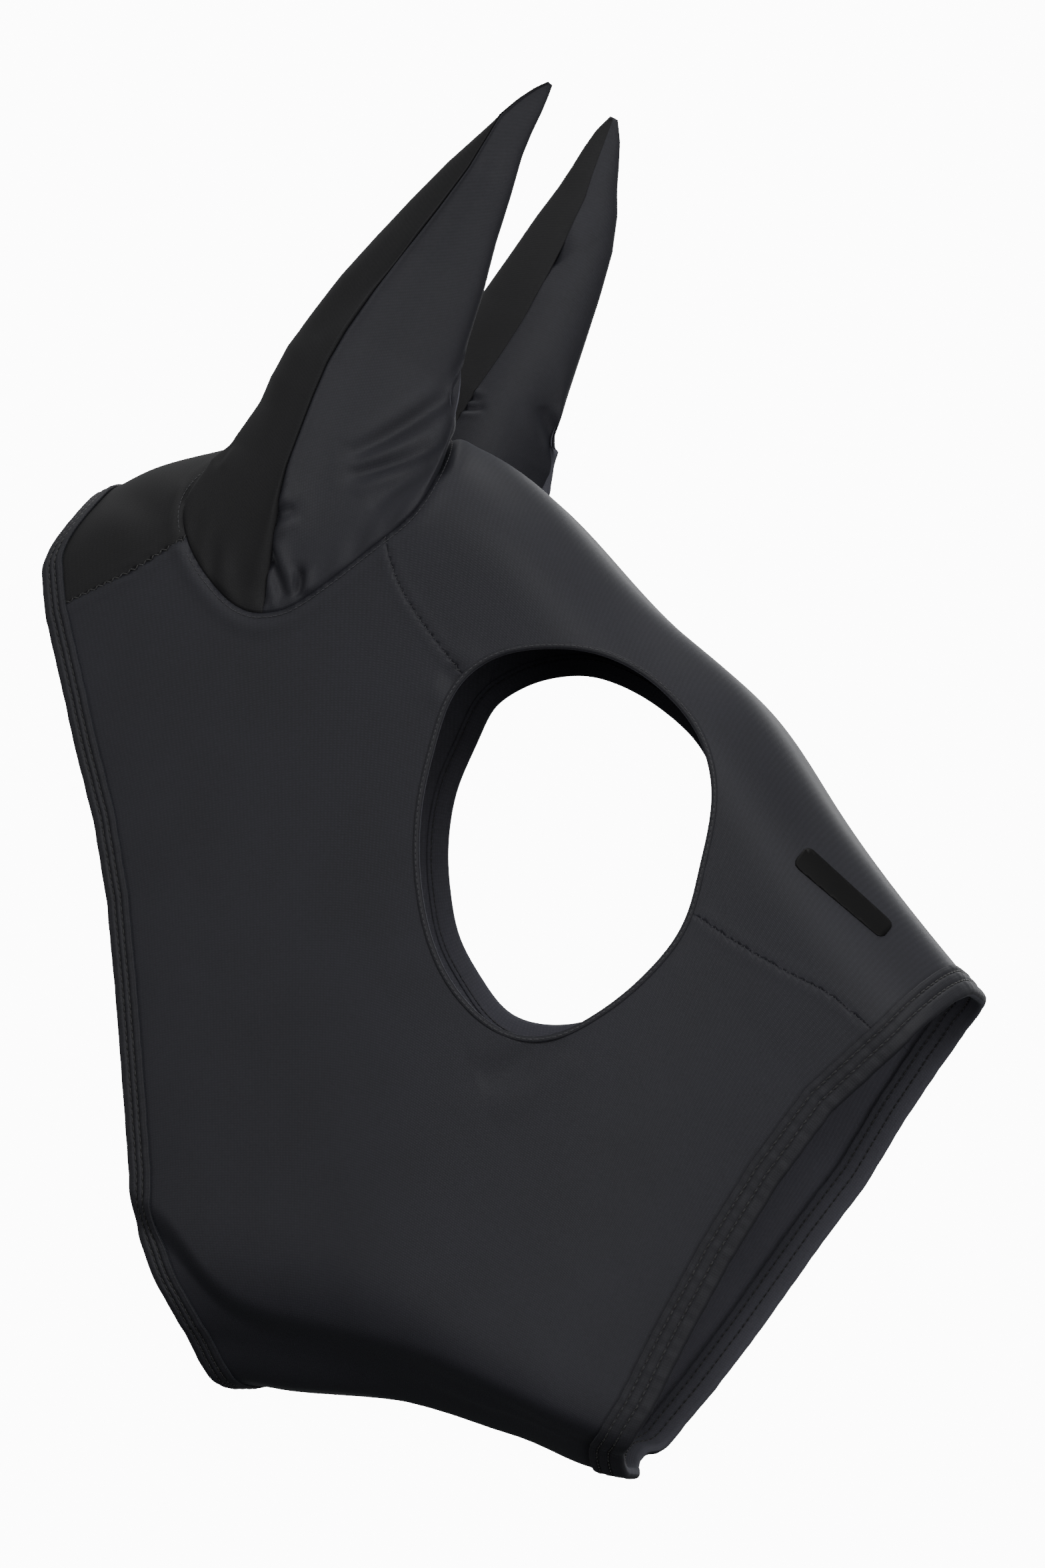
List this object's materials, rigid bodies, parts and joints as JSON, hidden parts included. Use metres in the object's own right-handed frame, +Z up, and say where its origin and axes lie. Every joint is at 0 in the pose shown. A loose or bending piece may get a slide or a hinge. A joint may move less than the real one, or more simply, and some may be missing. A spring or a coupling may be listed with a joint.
{
  "type": "fly mask",
  "caption": "Pull-on stretch fabric fly mask for a horse's head, with ear sleeves, open eye holes and stitched hems at the neck and muzzle openings.",
  "frame": {"origin": "the inside of the crown at the poll, where the mask hangs on the horse's head", "axes": "+X towards the nose, +Y to the horse's left, +Z up"},
  "size_m": [0.3805, 0.1467, 0.5701],
  "materials": {
    "side_cloth": "knitted elastane cloth, satin face, charcoal",
    "face_cloth": "knitted elastane cloth, satin face, charcoal",
    "crown_cloth": "matt knitted elastane cloth, near black",
    "hem_cloth": "folded binding of the same knit",
    "elastic": "covered flat elastic",
    "thread": "spun polyester sewing thread, black",
    "label": "blank satin transfer, near black"
  },
  "bodies": {
    "hood": {"crown_panel": "crown_cloth", "front_panel": "face_cloth", "right_side_panel": "side_cloth", "left_side_panel": "side_cloth", "neck_binding": "hem_cloth", "muzzle_binding": "hem_cloth", "neck_elastic": "elastic", "muzzle_elastic": "elastic", "neck_stitching": "thread", "muzzle_stitching": "thread", "right_eye_hem": "hem_cloth", "left_eye_hem": "hem_cloth", "crown_seam_stitching": "thread", "brow_seam_stitching": "thread", "nose_seam_stitching": "thread", "jaw_seam_tape": "hem_cloth", "nose_label": "label"},
    "right_ear": {"right_ear_back_panel": "crown_cloth", "right_ear_front_panel": "face_cloth"},
    "left_ear": {"left_ear_back_panel": "crown_cloth", "left_ear_front_panel": "face_cloth"}
  },
  "joints": [
    {"name": "right_ear_tilt", "type": "hinge", "parent": "hood", "child": "right_ear", "pos_m": [0.056, -0.0455, -0.019], "axis": [0, 1, 0], "range_deg": [-25, 12], "stiffness_Nm_per_rad": 0.25},
    {"name": "left_ear_tilt", "type": "hinge", "parent": "hood", "child": "left_ear", "pos_m": [0.074, 0.0455, -0.019], "axis": [0, 1, 0], "range_deg": [-25, 12], "stiffness_Nm_per_rad": 0.25}
  ]
}
